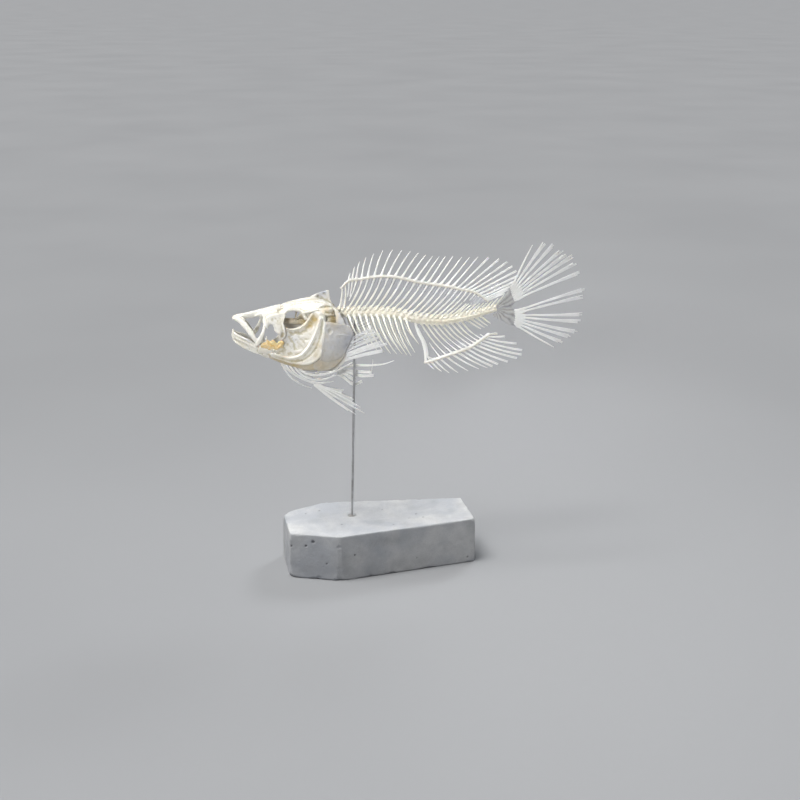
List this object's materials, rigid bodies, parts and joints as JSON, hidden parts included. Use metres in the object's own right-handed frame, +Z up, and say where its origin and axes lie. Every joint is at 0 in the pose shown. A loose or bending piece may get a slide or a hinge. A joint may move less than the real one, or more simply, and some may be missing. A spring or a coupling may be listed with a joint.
{
  "type": "mounted fish skeleton",
  "caption": "Skeleton of a large cichlid fish, with its fins spread, held on a steel rod in a coffin-shaped concrete base.",
  "frame": {"origin": "centre of the base's underside", "axes": "+X runs from the head end of the base to its foot end, which is the way the tail points, -Y is the fish's left side and +Z is up"},
  "size_m": [0.2421, 0.064, 0.2176],
  "materials": {
    "ivory_bone": "dry matt bone, ivory white",
    "cream_bone": "dry satin bone, cream with a yellow tinge",
    "clear_bone": "thin bluish-grey bone, slightly see-through",
    "concrete": "smooth cast concrete with air pits",
    "steel": "drawn wire, slightly dull",
    "glue": "dried pale glue",
    "dried_tissue": "dried orange-yellow tissue"
  },
  "bodies": {
    "root": {"anal_fin": "cream_bone", "backbone_tail": "cream_bone", "backbone_trunk": "cream_bone", "caudal_lower": "ivory_bone", "caudal_upper": "ivory_bone", "cheek_left": "ivory_bone", "cheek_right": "ivory_bone", "dorsal_fin": "cream_bone", "hyoid_left": "ivory_bone", "hyoid_right": "ivory_bone", "hypural_lower": "clear_bone", "hypural_upper": "clear_bone", "interopercle_left": "ivory_bone", "interopercle_right": "ivory_bone", "jaw_tissue": "dried_tissue", "lachrymal_left": "ivory_bone", "lachrymal_right": "ivory_bone", "lower_jaw_left": "ivory_bone", "lower_jaw_right": "ivory_bone", "maxilla_left": "ivory_bone", "maxilla_right": "ivory_bone", "neurocranium": "ivory_bone", "opercle_left": "clear_bone", "opercle_right": "clear_bone", "pectoral_fin_left": "ivory_bone", "pectoral_fin_right": "ivory_bone", "pectoral_girdle_left": "ivory_bone", "pectoral_girdle_right": "ivory_bone", "pelvic_fin_left": "ivory_bone", "pelvic_fin_right": "ivory_bone", "pelvic_girdle_left": "ivory_bone", "pelvic_girdle_right": "ivory_bone", "premaxilla_left": "ivory_bone", "premaxilla_right": "ivory_bone", "preopercle_left": "ivory_bone", "preopercle_right": "ivory_bone", "ribs_left": "cream_bone", "ribs_right": "cream_bone", "stand_base": "concrete", "stand_glue": "glue", "stand_rod": "steel", "subopercle_left": "clear_bone", "subopercle_right": "clear_bone"}
  },
  "joints": []
}
